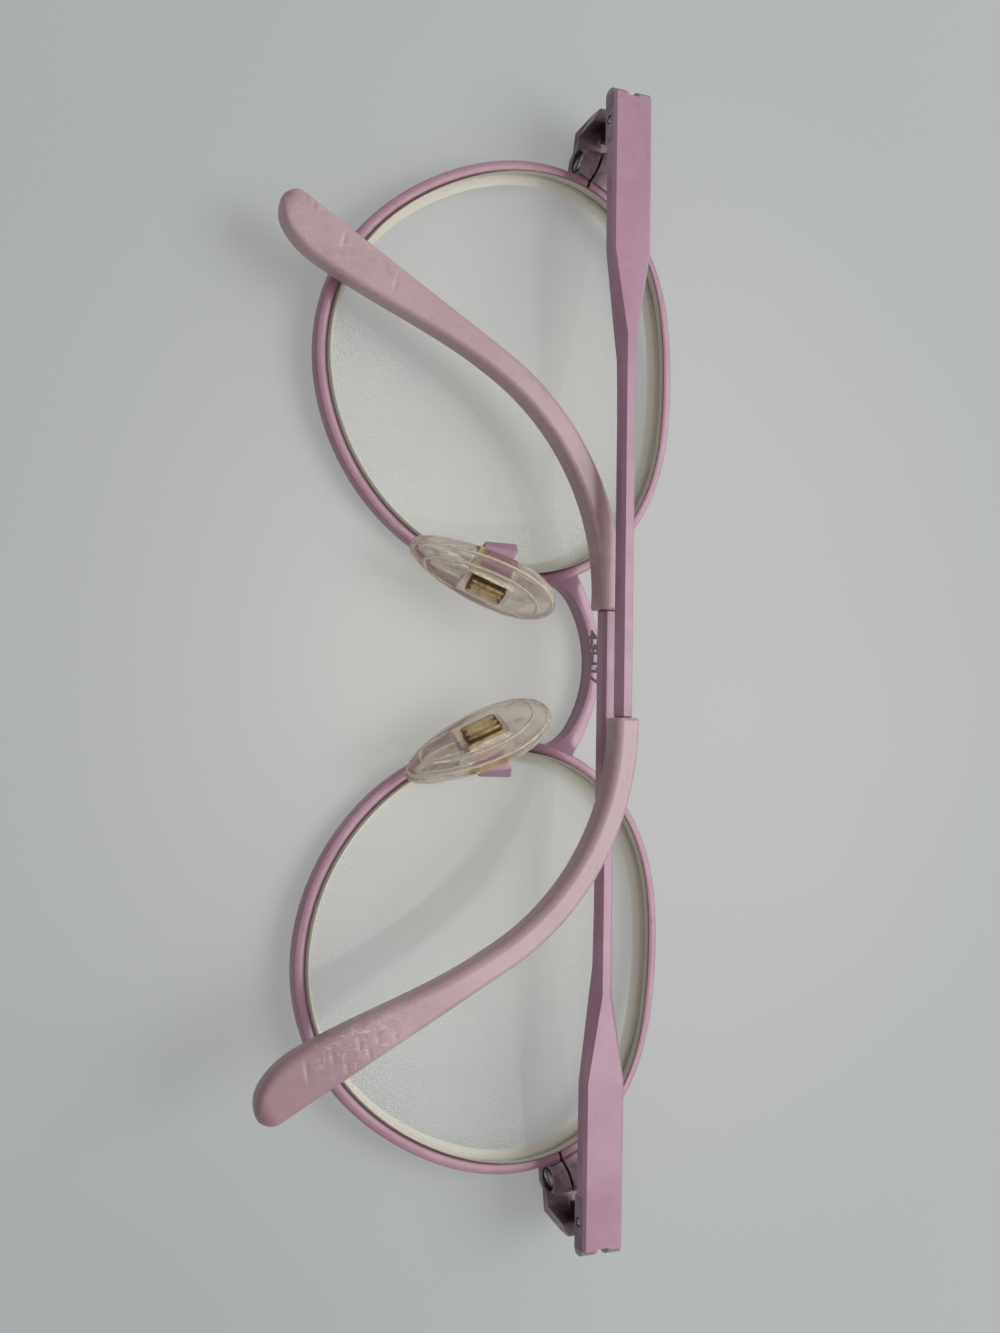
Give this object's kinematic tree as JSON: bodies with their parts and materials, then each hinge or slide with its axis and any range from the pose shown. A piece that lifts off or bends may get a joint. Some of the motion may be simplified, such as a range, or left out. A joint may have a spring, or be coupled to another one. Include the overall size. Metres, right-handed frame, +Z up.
{
  "type": "eyeglass frame",
  "caption": "Small round full-rim metal eyeglass frame with clear lenses, folding temples on slotted hinge blocks, plastic tips and soft rocking nose pads",
  "frame": {"origin": "on the surface the glasses lie on, under the middle of the bounding box", "axes": "+X to the wearer's right along the front, +Y to the wearer's brow, +Z up from the lenses towards the wearer's face; the temples are folded across the back"},
  "size_m": [0.1186, 0.0468, 0.0135],
  "materials": {
    "rose_paint": "satin pink lacquer with a faint pearl on metal, worn through at the hinge ends",
    "worn_steel": "plain turned screws, slightly worn",
    "pad_brass": "bright gold-coloured pad boxes and inserts",
    "tip_plastic": "satin pink plastic, scratched near the ends",
    "pad_silicone": "clear soft silicone, glossy",
    "lens_clear": "clear polished lens with a ground cream edge"
  },
  "bodies": {
    "front": {"bridge": "rose_paint", "closing_block_left": "rose_paint", "closing_block_right": "rose_paint", "closing_screw_left": "worn_steel", "closing_screw_right": "worn_steel", "endpiece_left": "rose_paint", "endpiece_right": "rose_paint", "lens_left": "lens_clear", "lens_right": "lens_clear", "pad_arm_left": "rose_paint", "pad_arm_right": "rose_paint", "pad_box_left": "pad_brass", "pad_box_right": "pad_brass", "pad_screw_left": "worn_steel", "pad_screw_right": "worn_steel", "rim_left": "rose_paint", "rim_right": "rose_paint"},
    "left_temple": {"temple_left": "rose_paint", "temple_tip_left": "tip_plastic", "hinge_fork_left": "rose_paint", "hinge_screw_left": "worn_steel"},
    "right_temple": {"temple_right": "rose_paint", "temple_tip_right": "tip_plastic", "hinge_fork_right": "rose_paint", "hinge_screw_right": "worn_steel"},
    "left_pad": {"nose_pad_left": "pad_silicone", "pad_insert_left": "pad_brass"},
    "right_pad": {"nose_pad_right": "pad_silicone", "pad_insert_right": "pad_brass"}
  },
  "joints": [
    {"name": "right_hinge", "type": "hinge", "parent": "front", "child": "right_temple", "pos_m": [0.05609, 0.01374, 0.00878], "axis": [0, 1, 0], "range_deg": [0, 92]},
    {"name": "left_hinge", "type": "hinge", "parent": "front", "child": "left_temple", "pos_m": [-0.05608, 0.01374, 0.00878], "axis": [0, -1, 0], "range_deg": [0, 88]},
    {"name": "right_pad_rock", "type": "hinge", "parent": "front", "child": "right_pad", "pos_m": [0.00817, 0.00061, 0.00643], "axis": [-0.4384, 0.8792, 0.1869], "range_deg": [-13, 3]},
    {"name": "left_pad_rock", "type": "hinge", "parent": "front", "child": "left_pad", "pos_m": [-0.008, 0.0006, 0.00644], "axis": [0.3746, 0.9069, 0.1928], "range_deg": [-11, 5]}
  ]
}
